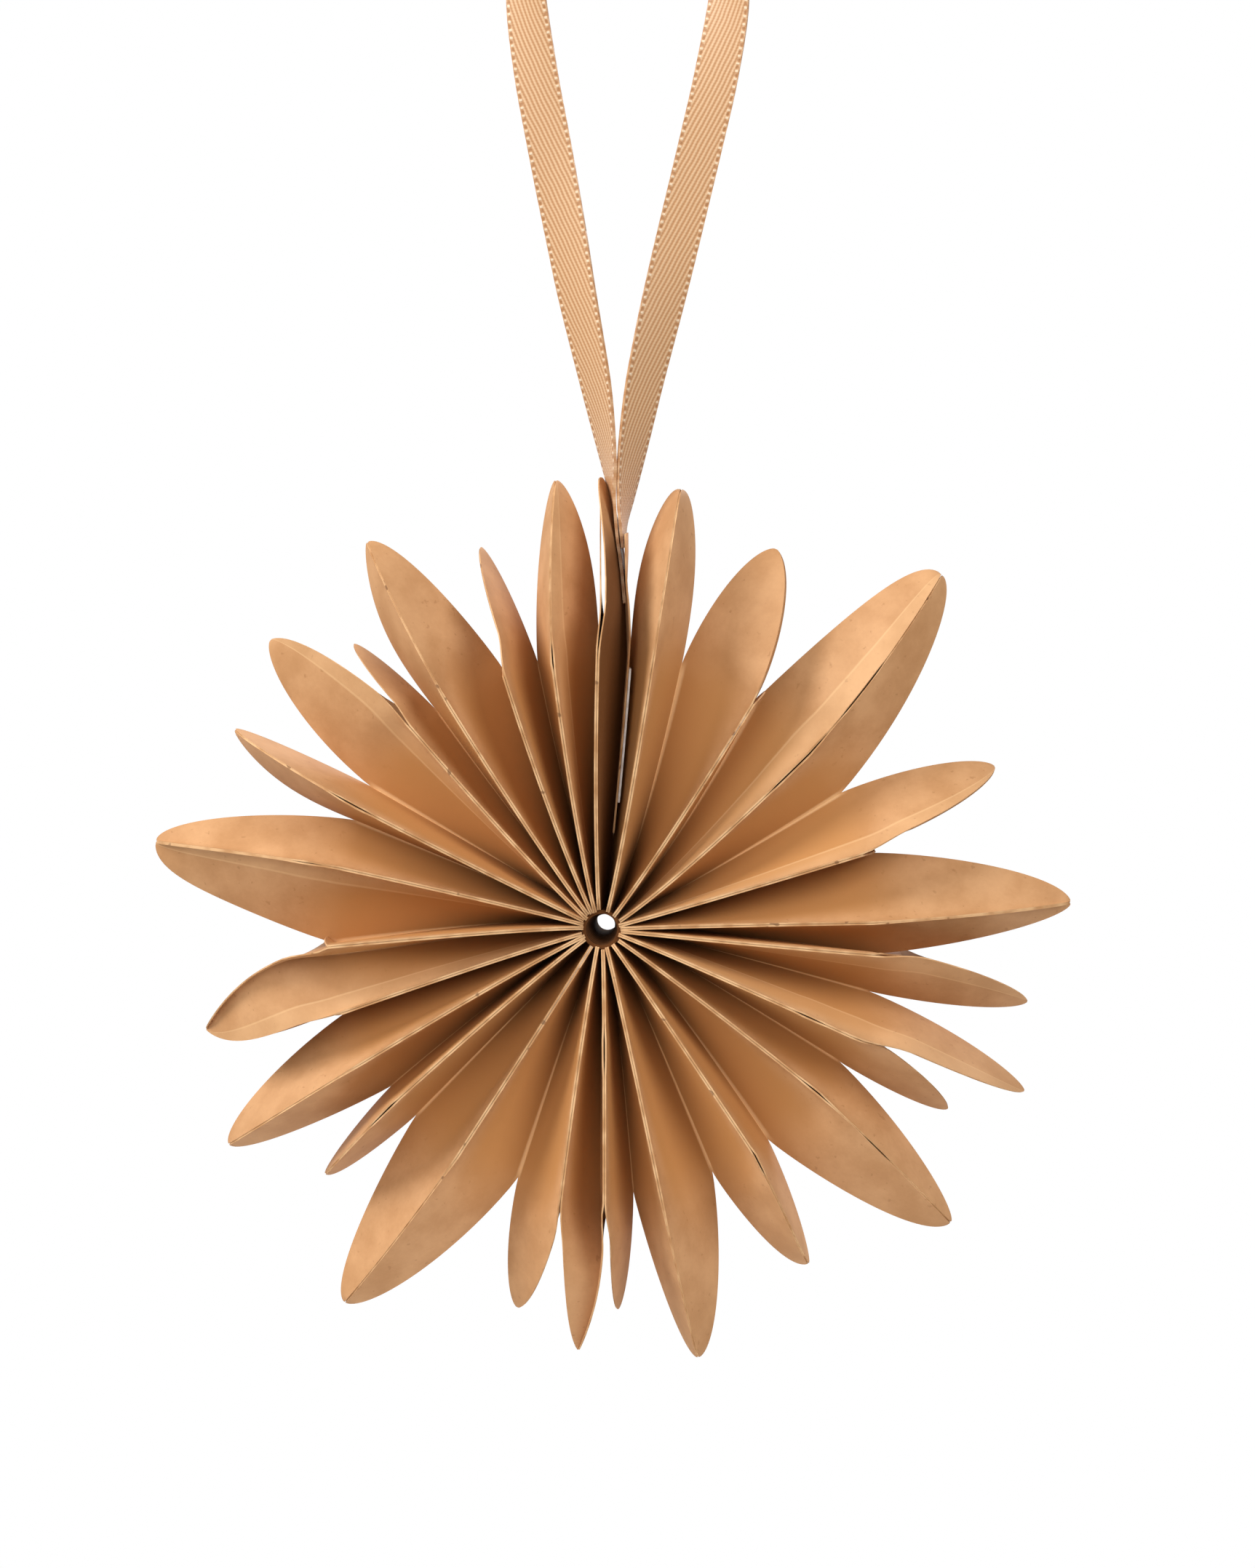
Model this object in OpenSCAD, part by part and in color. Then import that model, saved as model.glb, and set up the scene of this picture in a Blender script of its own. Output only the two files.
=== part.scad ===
// Fan-folded paper leaf rosette that hangs on a ribbon loop.
// Twenty-four card pockets stand round a small hub. A pocket is two leaf-shaped cards: their rims are glued
// together, front and rear, and their middles are glued to the pockets on either side.
// The fan opens from a flat stack, and its two ends meet at a taped seam at the top.
// Frame: origin at the centre of the hub, Y along the hub's axis with the front at -Y, Z up.
// Angles are in degrees about the hub as seen from the front, anticlockwise from +X.

/* [Card] */
// Thickness of the card
card_t = 0.37; // [0.3:0.01:0.37]
// Glue line between two cards
glue_gap = 0.05; // [0.03:0.01:0.05]

/* [Hub] */
// Radius of the narrow part of the hole through the hub
hub_hole_r = 1.7; // [1.5:0.1:2]
// Radius of the hole at its front and rear ends
hub_mouth_r = 2.6; // [2.2:0.1:2.8]
// Outer radius of the paper band that lines the hole
spine_r = 3.2; // [3.2:0.1:3.5]
// Half the length of the band along the hub's axis
spine_half_depth = 8.8; // [7:0.1:9]
// Half the depth of the leaves at their inner ends
hub_half_depth = 9.5; // [9.2:0.1:11]

/* [Leaves] */
// Distance from the hub's axis to where the glued rims end
glue_r = 44.4; // [43:0.2:46]
// Card from a rim to the middle of its leaf where the glue ends
leaf_half_w = 14.5; // [14:0.1:15.5]
// Least half depth of a pocket that is spread wide
least_half_depth = 8.5; // [7:0.5:10]
// How far the tip of a loose leaf leans to the rear
loose_lean = 3; // [0:0.5:5]

/* [Ribbon] */
// Width of the ribbon
ribbon_w = 7.2; // [6:0.2:8]
// Thickness of the ribbon
ribbon_t = 0.5; // [0.4:0.05:0.6]
// Thickness of the tape in the seam
tape_t = 0.25; // [0.15:0.05:0.25]

/* [Hidden] */
card_color = [0.72, 0.50, 0.30];
spine_color = [0.42, 0.27, 0.15];
ribbon_color = [0.80, 0.62, 0.42];
tape_color = [0.93, 0.91, 0.87];

// How a leaf is held past the end of the glue
JOINED = 0; // its rims stay glued to its partner's as far as the tip
LOOSE = 1; // it stands alone
TROUGH = 2; // its middle stays glued to the neighbouring leaf as far as the tip
SEAM = 3; // it stands alone beside the ribbon, with its rear turned to the left

// The pockets, clockwise from the seam: angle of the ridge, angle of the valley after it,
// then the left leaf and the right leaf, each with its tip's distance, its tip's angle, how it is held
// and, where it bulges sideways, by what angle.
POCKETS = [
  [78.9, 73.6, [72.5, 80.1, JOINED, 1.4], [72.5, 80.1, JOINED, -0.6]],
  [56.3, 56.2, [67.6, 65.6, LOOSE], [49.4, 55.4, LOOSE]],
  [40.5, 29.4, [79.7, 46.3, JOINED], [79.7, 46.3, JOINED]],
  [16.6, 15.6, [68.9, 22.1, LOOSE], [48.6, 14.6, LOOSE]],
  [1.9, -6, [76.4, 3, JOINED], [76.4, 3, JOINED]],
  [-4.5, -14, [49, -5.8, LOOSE], [70.5, -10.3, LOOSE]],
  [-22.3, -30.2, [74.2, -21.8, LOOSE], [64.1, -28.4, LOOSE]],
  [-37, -52.9, [75.1, -40.7, JOINED], [75.1, -40.7, JOINED]],
  [-55.4, -66.6, [65.3, -59.1, JOINED], [65.3, -59.1, JOINED]],
  [-77.2, -84, [73.5, -77.9, JOINED], [73.5, -77.9, JOINED]],
  [-89, -93.7, [64.5, -88.3, LOOSE], [71, -93.6, TROUGH]],
  [-98.4, -108.8, [71, -93.6, TROUGH], [66, -102.9, LOOSE]],
  [-122.2, -134.4, [76.6, -124.3, JOINED], [76.6, -124.3, JOINED]],
  [-140, -142.5, [62.4, -137.9, JOINED], [62.4, -137.9, JOINED]],
  [-150.7, -161, [72.5, -149.3, JOINED], [72.5, -149.3, JOINED]],
  [-162, -169, [51, -161.5, LOOSE], [68.4, -164.8, TROUGH]],
  [-176.7, -176.6, [68.4, -164.8, TROUGH], [48.4, -177.4, LOOSE]],
  [-192.8, -202.3, [75.3, -190.1, JOINED], [75.3, -190.1, JOINED]],
  [-207.2, -210.2, [68.7, -207.5, JOINED], [68.7, -207.5, JOINED]],
  [-226.4, -231.7, [72.2, -219.9, LOOSE], [61.8, -227.7, LOOSE]],
  [-236, -248.4, [73.8, -238.1, JOINED], [73.8, -238.1, JOINED]],
  [-249.6, -255.6, [48.6, -248.6, LOOSE], [65.1, -251.5, LOOSE]],
  [-260.1, -268.8, [73.3, -263.7, JOINED], [73.3, -263.7, JOINED, -1]],
  [-269.6, -274, [73, -269.1, SEAM], [73, -269.6, SEAM, -0.55]],
];
seam_angle = 84.4; // valley between the seam and the first pocket
pockets = len(POCKETS);

hub_turn = 70.4; // where the first pocket's ridge starts on the hub
hub_step = 360 / pockets;
leaf_r = spine_r + 0.1; // inner end of the leaves
HUB_NECK = [-1, 6.7]; // where along the hub's axis the hole is narrow, front and rear
half_pitch = (card_t + glue_gap) / 2; // from a glue line to the middle of a card

bow = 1.6; // how a card curves from its rims to its middle
tip_rounding = [1.42, 0.6];
NARROWING = [1, 0.4, 1.3, 1.8]; // how much faster than the card a leaf's spread closes, by how it is held
seam_tilt = 0.065; // how far aside the leaves at the seam turn with their depth
ACROSS = [-1, -0.6, 0, 0.6, 1]; // front rim to rear rim
GLUED = [0, 0.1, 0.25, 0.42, 0.6, 0.8, 1]; // hub to the end of the glue
FREE = [0.14, 0.3, 0.47, 0.64, 0.79, 0.9, 0.965, 0.995]; // end of the glue to the tip

// Middle line of the ribbon: x, y, z and how far its width is turned from the front towards the side.
// The loop runs from the left strand's middle over the top to the right strand's middle.
LOOP_ROUTE = [
  [-9.3, 0, 128.6, -5], [-11.2, 0, 139, -8], [-12.8, 0, 151, -24], [-13, 0, 162, -55],
  [-11.2, 0, 171, -82], [-6.5, 0, 178, -90],
  [0, 0, 182, -90], [3.4, 0, 182.6, -90], [6.8, 0, 182, -90],
  [13.3, 0, 178, -90], [18.2, 0, 171, -82], [20.4, 0, 162, -55],
  [20.2, 0, 151, -24], [18.2, 0, 139, -8], [15.85, 0, 128.6, -3],
];
LEFT_ROUTE = [
  [-9.05, 0, 127.4, 5], [-6.35, 0, 113, 19], [-4.7, 0, 104, 28], [-3.05, 0, 96, 37], [-1.3, 0, 87.5, 47],
  [0.45, 0, 77, 66], [1.3, 0, 70.1, 82],
];
RIGHT_ROUTE = [
  [15.6, 0, 127.4, -3], [12.1, 0, 113, -9], [9.95, 0, 104, -18], [8.07, 0, 96, -29], [6.2, 0, 87.5, -40],
  [4.35, 0, 77, -57], [3.4, 0, 70.1, -73],
];
LEFT_TAIL = [[1.3, 0, 70, 82], [2.2, 0, 64, 90], [2.7, 0, 60.5, 90], [3.12, 0, 56.6, 90], [3.42, 0, 53, 90]];
RIGHT_TAIL = [[3.4, 0, 70, -73], [3, 0, 65.5, -86], [3.1, 0, 62, -90]];

// The tab: where along the glue it starts, its front edge's angles at the hub and at the end of the glue,
// how far forward that edge stands, and the points across it from the edge to the last valley
tab_start = 0.42;
tab_edge = [83.2, 84.6];
tab_forward = 5.5;
TAB_ALONG = [0, 0.2, 0.4, 0.6, 0.8, 1];
TAB_ACROSS = [1, 0.75, 0.5, 0.25, 0];
// The tab past the glue, where it covers the ends of the ribbon: distance from the hub, angles of its front
// edge and of its rear edge
TAB_TOP = [[48, 84.9, 85.7], [52.5, 85.5, 85.6], [56.5, 86.15, 86.1], [61, 86.5, 86.4], [64.5, 86.75, 86.6]];
TAPE_ALONG = [0.22, 0.4, 0.6, 0.8, 0.95];
TAPE_ACROSS = [0.98, 0.7, 0.45];

LEFT = 1;
RIGHT = -1;
SIDES = [LEFT, RIGHT];
two_digits = function (n) n < 10 ? str("0", n) : str(n);
function leaf_name(k, side) = str("pocket_", two_digits(k + 1), side == LEFT ? "_left_leaf" : "_right_leaf");

function mix(a, b, t) = a + (b - a) * t;
function ease(t) = let (c = min(max(t, 0), 1)) c * c * (3 - 2 * c);
function around(r, a, y) = [r * cos(a), y, r * sin(a)];
function turn_at(distance, r) = distance / r * 180 / PI;

// A leaf's table entries
function ridge(k) = POCKETS[k][0];
function valley(k, side) = side == RIGHT ? POCKETS[k][1] : k == 0 ? seam_angle : POCKETS[k - 1][1];
function leaf(k, side) = POCKETS[k][side == LEFT ? 2 : 3];
function tip_r(k, side) = leaf(k, side)[0];
function tip_angle(k, side) = leaf(k, side)[1];
function hold(k, side) = leaf(k, side)[2];
function bulge(k, side) = len(leaf(k, side)) > 3 ? leaf(k, side)[3] : 0;

// Half depth of a pocket where the glue ends: the wider it is spread, the flatter it is
function spread(k, side) = glue_r * sin(abs(ridge(k) - valley(k, side)));
function glue_half_depth(k) =
  let (wide = max(spread(k, LEFT), spread(k, RIGHT)))
  max(least_half_depth, sqrt(max(0, leaf_half_w ^ 2 - wide ^ 2)));

// Along the glued part a ridge or valley runs straight from the hub, t is 0 there and 1 at the end of the glue
function hub_angle(k) = hub_turn - hub_step * k;
function glued_r(t) = mix(leaf_r, glue_r, t);
function straight(hub, glue, t) = glue + (hub - glue) * (1 - t) * leaf_r / glued_r(t);
function glued_rim(k, side, t) =
  straight(hub_angle(k), ridge(k), t) + side * turn_at(half_pitch, glued_r(t));
function glued_middle(k, side, t) =
  straight(hub_angle(k) + side * hub_step / 2, valley(k, side), t) - side * turn_at(half_pitch, glued_r(t));

// Past the glue a leaf closes in on its tip, t is 0 at the end of the glue and 1 at the tip
function closing(t) = (1 - t ^ tip_rounding[0]) ^ tip_rounding[1];
function free_r(k, side, t) = mix(glue_r, tip_r(k, side), t);
function free_depth(k, side, t) = glue_half_depth(k) * closing(t);
function half_turn(k, side) = ridge(k) - valley(k, side);
function side_bulge(k, side, t) = bulge(k, side) * sin(180 * t);
function loose_line(k, side, t) =
  mix((ridge(k) + valley(k, side)) / 2, tip_angle(k, side), t) + side_bulge(k, side, t);
function shrink(k, side, t) = closing(t) * (glue_r / free_r(k, side, t)) ^ NARROWING[hold(k, side)];

function free_rim(k, side, t) =
  let (
    o = side * turn_at(half_pitch, free_r(k, side, t)),
    c = shrink(k, side, t),
    h = hold(k, side)
  )
  h == JOINED ? mix(ridge(k), tip_angle(k, side), t) + o
  : h == TROUGH ? mix(valley(k, side), tip_angle(k, side), t) + half_turn(k, side) * c + o * (2 * c - 1)
  : loose_line(k, side, t) + half_turn(k, side) / 2 * c + o * c;

function free_middle(k, side, t) =
  let (
    o = side * turn_at(half_pitch, free_r(k, side, t)),
    c = shrink(k, side, t),
    h = hold(k, side)
  )
  h == JOINED ? mix(ridge(k), tip_angle(k, side), t) - half_turn(k, side) * c + o * (1 - 2 * c)
    + side_bulge(k, side, t)
  : h == TROUGH ? mix(valley(k, side), tip_angle(k, side), t) - o
  : loose_line(k, side, t) - half_turn(k, side) / 2 * c - o * c;

// A point on the middle of the card, v is -1 at the front rim and 1 at the rear rim
function bowed(rim, middle, v) = rim + (middle - rim) * (1 - abs(v) ^ bow);

function glued_point(k, side, t, v) =
  let (
    rim = glued_rim(k, side, t),
    middle = glued_middle(k, side, t),
    depth = mix(hub_half_depth, glue_half_depth(k), sin(90 * t))
  )
  around(glued_r(t), bowed(rim, middle, v), v * depth);

function free_point(k, side, t, v) =
  let (
    r = free_r(k, side, t),
    h = hold(k, side),
    y = v * free_depth(k, side, t),
    lean = h == LOOSE || h == SEAM ? loose_lean * t ^ 2 : 0,
    tilt = h == SEAM ? turn_at(seam_tilt * y, r) * ease(t / 0.35) : 0
  )
  around(r, bowed(free_rim(k, side, t), free_middle(k, side, t), v) + tilt, y + lean);

function leaf_grid(k, side) = concat(
  [for (t = GLUED) [for (v = ACROSS) glued_point(k, side, t, v)]],
  [for (t = FREE) [for (v = ACROSS) free_point(k, side, t, v)]]
);

// Unit normal of a grid of points, from the points on either side
function unit(v) = v / norm(v);
function normal_at(grid, i, j) =
  let (
    rows = len(grid) - 1,
    columns = len(grid[0]) - 1,
    along = grid[min(i + 1, rows)][j] - grid[max(i - 1, 0)][j],
    across = grid[i][min(j + 1, columns)] - grid[i][max(j - 1, 0)]
  )
  unit(cross(along, across));

// A closed sheet of even thickness about a grid of points
module card_sheet(grid, thickness) {
  rows = len(grid);
  columns = len(grid[0]);
  raised = function (h) [
    for (i = [0 : rows - 1], j = [0 : columns - 1]) grid[i][j] + normal_at(grid, i, j) * h
  ];
  under = rows * columns;
  at = function (i, j) i * columns + j;
  rim = concat(
    [for (i = [0 : rows - 1]) at(i, 0)],
    [for (j = [1 : columns - 1]) at(rows - 1, j)],
    [for (i = [rows - 2 : -1 : 0]) at(i, columns - 1)],
    [for (j = [columns - 2 : -1 : 1]) at(0, j)]
  );
  upper = [
    for (i = [0 : rows - 2], j = [0 : columns - 2])
      each [[at(i, j), at(i, j + 1), at(i + 1, j + 1)], [at(i, j), at(i + 1, j + 1), at(i + 1, j)]]
  ];
  lower = [for (f = upper) [f[0] + under, f[2] + under, f[1] + under]];
  edge = [
    for (n = [0 : len(rim) - 1])
      let (a = rim[n], b = rim[(n + 1) % len(rim)])
        each [[a, b, b + under], [a, b + under, a + under]]
  ];
  points = concat(raised(thickness / 2), raised(-thickness / 2));
  polyhedron(points, concat(upper, lower, edge), convexity = 6);
}

// One leaf-shaped card
module leaf_card(k, side) {
  color(card_color) card_sheet(leaf_grid(k, side), card_t);
}

// Paper band that joins the inner ends of the pockets and lines the hole, which narrows inside
module spine_band() {
  profile = [
    [hub_mouth_r, -spine_half_depth], [spine_r, -spine_half_depth],
    [spine_r, spine_half_depth], [hub_mouth_r, spine_half_depth],
    [hub_hole_r, HUB_NECK[1]], [hub_hole_r, HUB_NECK[0]],
  ];
  color(spine_color) rotate([-90, 0, 0]) rotate_extrude($fn = 64) polygon(profile);
}

// Card tab that is glued to the last valley and the ribbon, and comes forward beside the first leaf
function tab_point(t, w, away) =
  let (
    q = mix(tab_start, 1, t),
    r = glued_r(q),
    edge = mix(tab_edge[0], tab_edge[1], q),
    middle = 360 + glued_middle(pockets - 1, RIGHT, q) - 2 * turn_at(half_pitch, r)
  )
  around(r, middle + (edge - middle) * w ^ bow - turn_at(away, r), -tab_forward * w);

function tab_top_point(row, w) = around(row[0], mix(row[2], row[1], w ^ bow), -tab_forward * w);

module closure_tab() {
  grid = concat(
    [for (t = TAB_ALONG) [for (w = TAB_ACROSS) tab_point(t, w, 0)]],
    [for (row = TAB_TOP) [for (w = TAB_ACROSS) tab_top_point(row, w)]]
  );
  color(card_color) card_sheet(grid, card_t);
}

// Double-sided tape on the tab's outer face, which closes the fan
module closure_tape() {
  away = card_t / 2 + tape_t / 2 + 0.05;
  color(tape_color) card_sheet([for (t = TAPE_ALONG) [for (w = TAPE_ACROSS) tab_point(t, w, away)]], tape_t);
}

// Ribbon along a route, with its width turned as the route says
module ribbon(route) {
  last = len(route) - 1;
  middle = [for (p = route) [p[0], p[1], p[2]]];
  along = [for (i = [0 : last]) unit(middle[min(i + 1, last)] - middle[max(i - 1, 0)])];
  wide = [
    for (i = [0 : last])
      let (flat = [along[i][2], 0, -along[i][0]])
        flat * cos(route[i][3]) + [0, 1, 0] * sin(route[i][3])
  ];
  grid = [for (i = [0 : last]) [for (v = [-1, 1]) middle[i] + wide[i] * v * ribbon_w / 2]];
  card_sheet(grid, ribbon_t);
}

// The part of the loop that hangs from a hook
module ribbon_loop() {
  color(ribbon_color) ribbon(LOOP_ROUTE);
}

// The two strands below it, which come together above the seam
module ribbon_strands() {
  color(ribbon_color) {
    ribbon(LEFT_ROUTE);
    ribbon(RIGHT_ROUTE);
  }
}

// The two ends, which lie against each other in the seam
module ribbon_tails() {
  color(ribbon_color) {
    ribbon(LEFT_TAIL);
    ribbon(RIGHT_TAIL);
  }
}

for (k = [0 : pockets - 1], side = SIDES)
  leaf_card(k, side);
spine_band();
closure_tab();
closure_tape();
ribbon_loop();
ribbon_strands();
ribbon_tails();
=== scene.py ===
# %% [markdown]
# # A paper leaf rosette on a ribbon
# The ornament is a fan of leaf-shaped kraft cards. Two cards make a pocket: their rims are glued
# together at the front and the rear, and the middle of each card is glued to the next pocket. Opened
# out into a full circle, the fan stands as a star of petals round a small hole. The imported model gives
# the frame, and every card is modelled here again as a thin bent sheet.

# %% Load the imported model
import math
from collections import namedtuple

import bmesh
import bpy
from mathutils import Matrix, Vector
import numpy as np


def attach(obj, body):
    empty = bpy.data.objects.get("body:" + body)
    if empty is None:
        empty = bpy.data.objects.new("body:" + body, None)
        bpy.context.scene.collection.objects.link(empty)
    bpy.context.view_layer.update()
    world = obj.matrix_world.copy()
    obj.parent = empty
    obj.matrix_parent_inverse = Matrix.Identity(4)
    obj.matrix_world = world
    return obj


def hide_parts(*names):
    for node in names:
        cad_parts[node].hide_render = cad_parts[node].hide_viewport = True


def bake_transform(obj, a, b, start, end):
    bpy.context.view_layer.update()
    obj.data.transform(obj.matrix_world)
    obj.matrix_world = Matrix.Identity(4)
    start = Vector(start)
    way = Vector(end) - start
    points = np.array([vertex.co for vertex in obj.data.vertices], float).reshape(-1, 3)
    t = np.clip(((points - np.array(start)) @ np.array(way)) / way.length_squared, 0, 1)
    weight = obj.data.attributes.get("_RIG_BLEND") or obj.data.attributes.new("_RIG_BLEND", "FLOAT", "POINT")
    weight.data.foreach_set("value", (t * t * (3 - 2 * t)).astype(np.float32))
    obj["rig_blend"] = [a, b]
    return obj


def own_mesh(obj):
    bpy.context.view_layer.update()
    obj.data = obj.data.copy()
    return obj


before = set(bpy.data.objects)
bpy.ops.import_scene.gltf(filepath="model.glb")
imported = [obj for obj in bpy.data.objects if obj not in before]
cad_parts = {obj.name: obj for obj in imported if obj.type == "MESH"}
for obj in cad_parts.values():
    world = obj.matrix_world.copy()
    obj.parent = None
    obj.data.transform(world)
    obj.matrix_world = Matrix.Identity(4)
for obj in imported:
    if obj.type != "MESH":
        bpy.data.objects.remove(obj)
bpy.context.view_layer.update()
MM = 0.001
print(len(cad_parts), "solids in the frame")

# %% [markdown]
# ## Camera
# The picture was taken with a long lens from a little above and a little to the right: through the hole
# in the hub, the rear rim shows higher and further right than the front one. A camera could be turned
# by three angles, but those are hard to guess. So it stands on that line from the hub, and aims at the
# middle of the frame.

# %% Camera
PHOTO_SIZE = (1725, 2156)
FRAME_WIDTH = 206 * MM
AIM = Vector((3.7 * MM, 0, 23.1 * MM))
SIDE_ANGLE = math.radians(3.7)
UP_ANGLE = math.radians(6.1)
CAMERA_DISTANCE = 1.1

camera_data = bpy.data.cameras.new("camera")
camera = bpy.data.objects.new("camera", camera_data)
bpy.context.scene.collection.objects.link(camera)
camera.location = CAMERA_DISTANCE * Vector((
    math.sin(SIDE_ANGLE) * math.cos(UP_ANGLE),
    -math.cos(SIDE_ANGLE) * math.cos(UP_ANGLE),
    math.sin(UP_ANGLE),
))
sight = AIM - camera.location
camera.rotation_mode = "QUATERNION"
camera.rotation_quaternion = sight.to_track_quat("-Z", "Y")
camera_data.sensor_width = 36
frame_height = FRAME_WIDTH * PHOTO_SIZE[1] / PHOTO_SIZE[0]
camera_data.lens = camera_data.sensor_width * sight.length / frame_height
bpy.context.scene.camera = camera
print("lens", round(camera_data.lens, 1), "mm")

# %% [markdown]
# ## Ribbon
# One narrow satin ribbon goes up from the seam, over a hook above the picture, and back into the seam.
# Its two strands turn edge-on where they come together. Above the picture it makes half a twist,
# because its threads slant one way on the left strand and the other way on the right. A curve with a
# flat profile could follow the line, but the turn of each point is easier to give in a short table.

# %% Ribbon route
RIBBON_WIDTH = 7.2 * MM
RIBBON_THICKNESS = 0.5 * MM
# x and z in millimetres, and the turn of the ribbon's width from the front towards the side in degrees;
# the first and last points only give the line its direction there
LOOP_ROUTE = [
    (-4.7, 104, -28), (-6.35, 113, -19), (-9.17, 128, -5), (-11.2, 139, -8),
    (-12.8, 151, -24), (-13, 162, -55), (-11.2, 171, -82), (-6.5, 178, -90),
    (0, 182, -90), (3.4, 182.6, -90), (6.8, 182, -90),
    (13.3, 178, -90), (18.2, 171, -98), (20.4, 162, -125), (20.2, 151, -156),
    (18.2, 139, -174), (15.7, 128, -183), (12.1, 113, -189), (9.95, 104, -198),
]
LEFT_ROUTE = [
    (-9.17, 128, 5), (-6.35, 113, 19), (-4.7, 104, 28), (-3.05, 96, 37), (-1.3, 87.5, 47), (0.45, 77, 66),
    (1.3, 70, 82), (2.2, 64, 90), (2.7, 60.5, 90), (3.12, 56.6, 90), (3.42, 53, 90), (3.7, 49, 90),
]
RIGHT_ROUTE = [
    (15.7, 128, -183), (12.1, 113, -189), (9.95, 104, -198), (8.07, 96, -209), (6.2, 87.5, -220),
    (4.35, 77, -237), (3.4, 70, -253), (3, 65.5, -266), (3.1, 62, -270), (3.3, 58, -270),
]
ROUTE_STEPS = 8  # between two points of a route


def smooth_route(route):
    """Points along a smooth line through the route, with the turn of each."""
    made = []
    for before, a, b, after in zip(*(map(Vector, route[i:]) for i in range(4))):
        for n in range(ROUTE_STEPS):
            t = n / ROUTE_STEPS
            made.append(
                0.5 * (2 * a + (b - before) * t + (2 * before - 5 * a + 4 * b - after) * t ** 2
                       + (3 * a - before - 3 * b + after) * t ** 3)
            )
    made.append(Vector(route[-2]))
    return made


print("the top of the ribbon has", len(smooth_route(LOOP_ROUTE)), "rows")

# %% [markdown]
# ## Sheets
# Ribbon, cards, tab and tape are all thin sheets. Each is drawn as a surface without thickness, and a
# Solidify modifier gives it its two faces and its cut edge, which may have a finish of its own. Edges
# of the surface are marked sharp first, so that the cut edge stays crisp and the rest is shaded smooth.

# %% Sheets


def made_mesh(shape, name):
    """The mesh of a finished bmesh."""
    mesh = bpy.data.meshes.new(name)
    shape.to_mesh(mesh)
    shape.free()
    return mesh


def link(name, mesh, materials=()):
    """A new piece at the origin."""
    piece = bpy.data.objects.new(name, mesh)
    bpy.context.scene.collection.objects.link(piece)
    for material in materials:
        mesh.materials.append(material)
    return piece


def sharp_rim(shape):
    """Keeps the edge of a sheet crisp once it has its thickness."""
    for edge in shape.edges:
        edge.smooth = not edge.is_boundary
    for face in shape.faces:
        face.smooth = True


def thicken(piece, thickness, rim_slot):
    """Gives a sheet its thickness about its middle, with another finish on the cut edge."""
    wall = piece.modifiers.new("thickness", "SOLIDIFY")
    wall.thickness = thickness
    wall.offset = 0
    wall.use_even_offset = False
    wall.material_offset_rim = rim_slot
    return wall


print("the ribbon is a sheet of", round(RIBBON_THICKNESS / MM, 2), "mm")

# %% [markdown]
# ## Lengths of ribbon
# Each length is a grid of faces whose rows are moved to the smooth line and turned about it. The map
# for the weave is written at the same time: it measures along the ribbon, and carries on from one
# length to the next, so that the threads meet where two lengths join.

# %% Lengths of ribbon
RIBBON_FACES = 8  # across its width
MAP_LENGTH = 100  # millimetres of ribbon to one turn of the map


def ribbon_piece(name, route, start=0.0, sense=1):
    """A ribbon along a route: the piece, the points of its middle line, and its length.

    Its map carries on from another length: start is where, and sense is -1 where it runs backwards."""
    line = smooth_route(route)
    last = len(line) - 1
    middle = [Vector((p.x * MM, 0, p.y * MM)) for p in line]
    along = [0.0]
    for a, b in zip(middle, middle[1:]):
        along.append(along[-1] + (b - a).length)
    shape = bmesh.new()
    uv = shape.loops.layers.uv.new("ribbon")
    bmesh.ops.create_grid(shape, x_segments=last, y_segments=RIBBON_FACES, size=1)
    place = {}
    for vert in shape.verts:
        row = round((vert.co.x + 1) / 2 * last)
        over = vert.co.y
        ahead = (middle[min(row + 1, last)] - middle[max(row - 1, 0)]).normalized()
        turn = math.radians(line[row].z)
        wide = Vector((ahead.z, 0, -ahead.x)) * math.cos(turn) + Vector((0, 1, 0)) * math.sin(turn)
        place[vert] = ((start + sense * along[row]) / MM, sense * over)
        vert.co = middle[row] + wide * over * RIBBON_WIDTH / 2
    for face in shape.faces:
        for loop in face.loops:
            length_mm, over = place[loop.vert]
            loop[uv].uv = (length_mm / MAP_LENGTH, (over + 1) / 2)
    sharp_rim(shape)
    piece = link(name, made_mesh(shape, name))
    thicken(piece, RIBBON_THICKNESS, 0)
    return piece, middle, along[-1]


ribbon_top, top_line, top_length = ribbon_piece("ribbon_over_the_hook", LOOP_ROUTE)
left_strand, left_line, left_length = ribbon_piece("ribbon_left_strand", LEFT_ROUTE, 0, -1)
right_strand, right_line, right_length = ribbon_piece("ribbon_right_strand", RIGHT_ROUTE, top_length)
print("ribbon", round((top_length + left_length + right_length) / MM), "mm long")

# %% [markdown]
# ## Ribbon on its joints
# The ornament swings under the loop, and turns as the ribbon twists above the seam. A stiff ribbon
# would tear there, so each length is blended from the upper body to the lower one between two heights.

# %% Ribbon on its joints
SWING_X, SWING_HEIGHTS = 3.4, (142, 114)
TWIST_X, TWIST_HEIGHTS = 2.4, (95, 75)


def bend(piece, upper, lower, x, heights):
    """Bends a ribbon from one body to the next, between two heights in millimetres."""
    start, end = [(x * MM, 0, z * MM) for z in heights]
    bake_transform(piece, upper, lower, start=start, end=end)


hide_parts("ribbon_loop")
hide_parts("ribbon_strands", "ribbon_tails")
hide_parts("ribbon_strands", "ribbon_tails")
bend(ribbon_top, "ribbon_loop", "ribbon_strands", SWING_X, SWING_HEIGHTS)
bend(left_strand, "ribbon_strands", "pocket_01", TWIST_X, TWIST_HEIGHTS)
bend(right_strand, "ribbon_strands", "pocket_01", TWIST_X, TWIST_HEIGHTS)
for piece, line, length in (
    (ribbon_top, top_line, top_length),
    (left_strand, left_line[::-1], left_length),
    (right_strand, right_line[::-1], right_length),
):
    print(piece.name, round(length / MM), "mm")

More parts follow.
